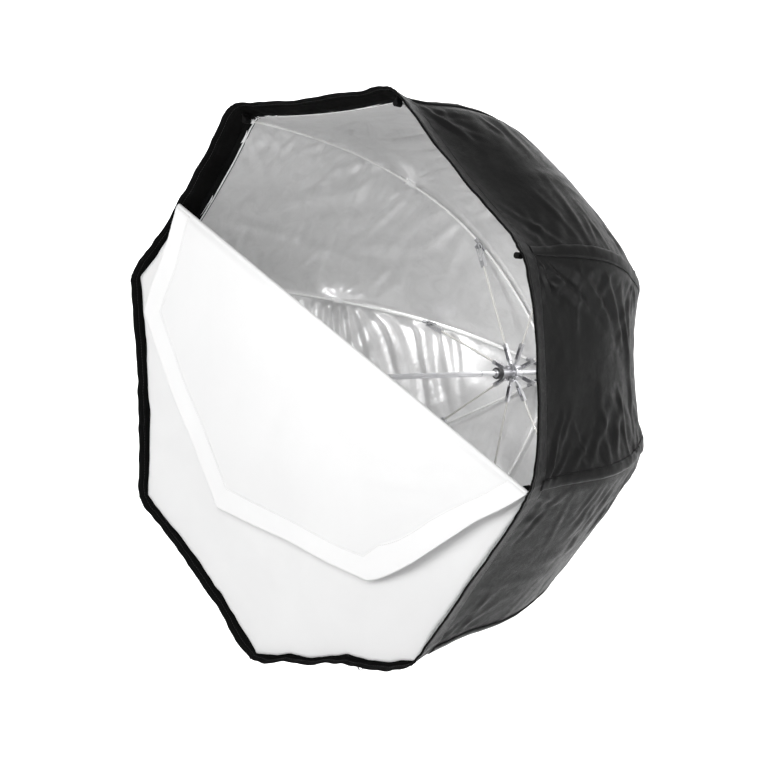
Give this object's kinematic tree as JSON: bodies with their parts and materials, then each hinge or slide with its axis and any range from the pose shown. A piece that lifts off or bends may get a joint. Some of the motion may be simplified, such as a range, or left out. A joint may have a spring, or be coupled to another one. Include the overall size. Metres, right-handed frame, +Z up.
{
  "type": "umbrella octabox",
  "caption": "Folding umbrella-type octagonal softbox with a ribbed frame on a central shaft, silver-lined black cover, peel-back white diffuser and a zip for a stand.",
  "frame": {"origin": "on the shaft's axis, where a flash bracket is clamped, 230 mm behind the front edge", "axes": "the opening looks toward -Y and the crown is at +Y; +Z up, across two flats of the octagon; the stand zip is at the bottom, -Z"},
  "size_m": [0.8, 0.5046, 0.813],
  "materials": {
    "black_fabric": "black nylon weave, silver coated on the inside of the cover",
    "silver_lined_fabric": "black nylon outside, silver inside",
    "loop": "hook-and-loop, loop side",
    "white_fabric": "white woven",
    "diffuser_cloth": "thin white translucent polyester",
    "white_rod": "white coated fibre rod",
    "dark_steel": "dark grey pressed steel",
    "grey_steel": "grey zinc plated steel",
    "bright_steel": "polished",
    "white_plastic": "moulded",
    "black_plastic": "moulded",
    "zip_metal": "nickel plated"
  },
  "bodies": {
    "shaft": {"shaft_tube": "bright_steel", "shaft_plug": "black_plastic", "crown": "black_plastic", "crown_pins": "grey_steel", "apex_cap": "black_plastic", "cover": "silver_lined_fabric", "lip_band": "black_fabric", "loop_tape": "loop", "tip_pockets": "black_fabric", "rib_ties": "white_fabric", "diffuser_panel": "diffuser_cloth", "zip_tape": "black_fabric"},
    "runner": {"runner_hub": "grey_steel", "runner_pins": "grey_steel", "runner_collar": "black_plastic"},
    "rib_1": {"rib_1_rod": "white_rod", "rib_1_steel": "dark_steel", "rib_1_tip": "white_plastic"},
    "stretcher_1": {"stretcher_1_rod": "white_rod", "stretcher_1_ends": "grey_steel"},
    "rib_2": {"rib_2_rod": "white_rod", "rib_2_steel": "dark_steel", "rib_2_tip": "white_plastic"},
    "stretcher_2": {"stretcher_2_rod": "white_rod", "stretcher_2_ends": "grey_steel"},
    "rib_3": {"rib_3_rod": "white_rod", "rib_3_steel": "dark_steel", "rib_3_tip": "white_plastic"},
    "stretcher_3": {"stretcher_3_rod": "white_rod", "stretcher_3_ends": "grey_steel"},
    "rib_4": {"rib_4_rod": "white_rod", "rib_4_steel": "dark_steel", "rib_4_tip": "white_plastic"},
    "stretcher_4": {"stretcher_4_rod": "white_rod", "stretcher_4_ends": "grey_steel"},
    "rib_5": {"rib_5_rod": "white_rod", "rib_5_steel": "dark_steel", "rib_5_tip": "white_plastic"},
    "stretcher_5": {"stretcher_5_rod": "white_rod", "stretcher_5_ends": "grey_steel"},
    "rib_6": {"rib_6_rod": "white_rod", "rib_6_steel": "dark_steel", "rib_6_tip": "white_plastic"},
    "stretcher_6": {"stretcher_6_rod": "white_rod", "stretcher_6_ends": "grey_steel"},
    "rib_7": {"rib_7_rod": "white_rod", "rib_7_steel": "dark_steel", "rib_7_tip": "white_plastic"},
    "stretcher_7": {"stretcher_7_rod": "white_rod", "stretcher_7_ends": "grey_steel"},
    "rib_8": {"rib_8_rod": "white_rod", "rib_8_steel": "dark_steel", "rib_8_tip": "white_plastic"},
    "stretcher_8": {"stretcher_8_rod": "white_rod", "stretcher_8_ends": "grey_steel"},
    "diffuser_flap": {"diffuser_flap": "diffuser_cloth"},
    "zip_slider": {"zip_slider": "zip_metal"},
    "zip_pull": {"zip_pull": "zip_metal"}
  },
  "joints": [
    {"name": "runner_slide", "type": "slide", "parent": "shaft", "child": "runner", "axis": [0, -1, 0], "range_m": [0, 0.2402], "deforming": ["cover", "lip_band", "loop_tape", "tip_pockets", "rib_ties", "diffuser_panel", "diffuser_flap", "zip_tape"]},
    {"name": "rib_1_hinge", "type": "hinge", "parent": "shaft", "child": "rib_1", "pos_m": [0.00924, 0.249, 0.00383], "axis": [0.3827, 0, -0.9239], "range_deg": [0, 35.6]},
    {"name": "rib_2_hinge", "type": "hinge", "parent": "shaft", "child": "rib_2", "pos_m": [0.00383, 0.249, 0.00924], "axis": [0.9239, 0, -0.3827], "range_deg": [0, 35.6]},
    {"name": "rib_3_hinge", "type": "hinge", "parent": "shaft", "child": "rib_3", "pos_m": [-0.00383, 0.249, 0.00924], "axis": [0.9239, 0, 0.3827], "range_deg": [0, 35.6]},
    {"name": "rib_4_hinge", "type": "hinge", "parent": "shaft", "child": "rib_4", "pos_m": [-0.00924, 0.249, 0.00383], "axis": [0.3827, 0, 0.9239], "range_deg": [0, 35.6]},
    {"name": "rib_5_hinge", "type": "hinge", "parent": "shaft", "child": "rib_5", "pos_m": [-0.00924, 0.249, -0.00383], "axis": [-0.3827, 0, 0.9239], "range_deg": [0, 35.6]},
    {"name": "rib_6_hinge", "type": "hinge", "parent": "shaft", "child": "rib_6", "pos_m": [-0.00383, 0.249, -0.00924], "axis": [-0.9239, 0, 0.3827], "range_deg": [0, 35.6]},
    {"name": "rib_7_hinge", "type": "hinge", "parent": "shaft", "child": "rib_7", "pos_m": [0.00383, 0.249, -0.00924], "axis": [-0.9239, 0, -0.3827], "range_deg": [0, 35.6]},
    {"name": "rib_8_hinge", "type": "hinge", "parent": "shaft", "child": "rib_8", "pos_m": [0.00924, 0.249, -0.00383], "axis": [-0.3827, 0, -0.9239], "range_deg": [0, 35.6]},
    {"name": "stretcher_1_hinge", "type": "hinge", "parent": "runner", "child": "stretcher_1", "pos_m": [0.00924, 0.164, 0.00383], "axis": [-0.3827, 0, 0.9239], "range_deg": [0, 47.8]},
    {"name": "stretcher_2_hinge", "type": "hinge", "parent": "runner", "child": "stretcher_2", "pos_m": [0.00383, 0.164, 0.00924], "axis": [-0.9239, 0, 0.3827], "range_deg": [0, 47.8]},
    {"name": "stretcher_3_hinge", "type": "hinge", "parent": "runner", "child": "stretcher_3", "pos_m": [-0.00383, 0.164, 0.00924], "axis": [-0.9239, 0, -0.3827], "range_deg": [0, 47.8]},
    {"name": "stretcher_4_hinge", "type": "hinge", "parent": "runner", "child": "stretcher_4", "pos_m": [-0.00924, 0.164, 0.00383], "axis": [-0.3827, 0, -0.9239], "range_deg": [0, 47.8]},
    {"name": "stretcher_5_hinge", "type": "hinge", "parent": "runner", "child": "stretcher_5", "pos_m": [-0.00924, 0.164, -0.00383], "axis": [0.3827, 0, -0.9239], "range_deg": [0, 47.8]},
    {"name": "stretcher_6_hinge", "type": "hinge", "parent": "runner", "child": "stretcher_6", "pos_m": [-0.00383, 0.164, -0.00924], "axis": [0.9239, 0, -0.3827], "range_deg": [0, 47.8]},
    {"name": "stretcher_7_hinge", "type": "hinge", "parent": "runner", "child": "stretcher_7", "pos_m": [0.00383, 0.164, -0.00924], "axis": [0.9239, 0, 0.3827], "range_deg": [0, 47.8]},
    {"name": "stretcher_8_hinge", "type": "hinge", "parent": "runner", "child": "stretcher_8", "pos_m": [0.00924, 0.164, -0.00383], "axis": [0.3827, 0, 0.9239], "range_deg": [0, 47.8]},
    {"name": "diffuser_fold", "type": "hinge", "parent": "shaft", "child": "diffuser_flap", "pos_m": [-0.2928, -0.2208, 0.2605], "axis": [-0.8508, 0, 0.5255], "range_deg": [0, 180]},
    {"name": "zip_slide", "type": "slide", "parent": "shaft", "child": "zip_slider", "axis": [0, 0.9819, 0.1891], "range_m": [0, 0.125]},
    {"name": "zip_pull_swing", "type": "hinge", "parent": "zip_slider", "child": "zip_pull", "pos_m": [0, -0.16704, -0.38696], "axis": [1, 0, 0], "range_deg": [-70, 70]}
  ],
  "couplings": [
    {"joint": "rib_1_hinge", "follows": "runner_slide", "rad_per_m": 2.5794},
    {"joint": "rib_2_hinge", "follows": "runner_slide", "rad_per_m": 2.5794},
    {"joint": "rib_3_hinge", "follows": "runner_slide", "rad_per_m": 2.5794},
    {"joint": "rib_4_hinge", "follows": "runner_slide", "rad_per_m": 2.5794},
    {"joint": "rib_5_hinge", "follows": "runner_slide", "rad_per_m": 2.5794},
    {"joint": "rib_6_hinge", "follows": "runner_slide", "rad_per_m": 2.5794},
    {"joint": "rib_7_hinge", "follows": "runner_slide", "rad_per_m": 2.5794},
    {"joint": "rib_8_hinge", "follows": "runner_slide", "rad_per_m": 2.5794},
    {"joint": "stretcher_1_hinge", "follows": "runner_slide", "rad_per_m": 3.4638},
    {"joint": "stretcher_2_hinge", "follows": "runner_slide", "rad_per_m": 3.4638},
    {"joint": "stretcher_3_hinge", "follows": "runner_slide", "rad_per_m": 3.4638},
    {"joint": "stretcher_4_hinge", "follows": "runner_slide", "rad_per_m": 3.4638},
    {"joint": "stretcher_5_hinge", "follows": "runner_slide", "rad_per_m": 3.4638},
    {"joint": "stretcher_6_hinge", "follows": "runner_slide", "rad_per_m": 3.4638},
    {"joint": "stretcher_7_hinge", "follows": "runner_slide", "rad_per_m": 3.4638},
    {"joint": "stretcher_8_hinge", "follows": "runner_slide", "rad_per_m": 3.4638}
  ]
}
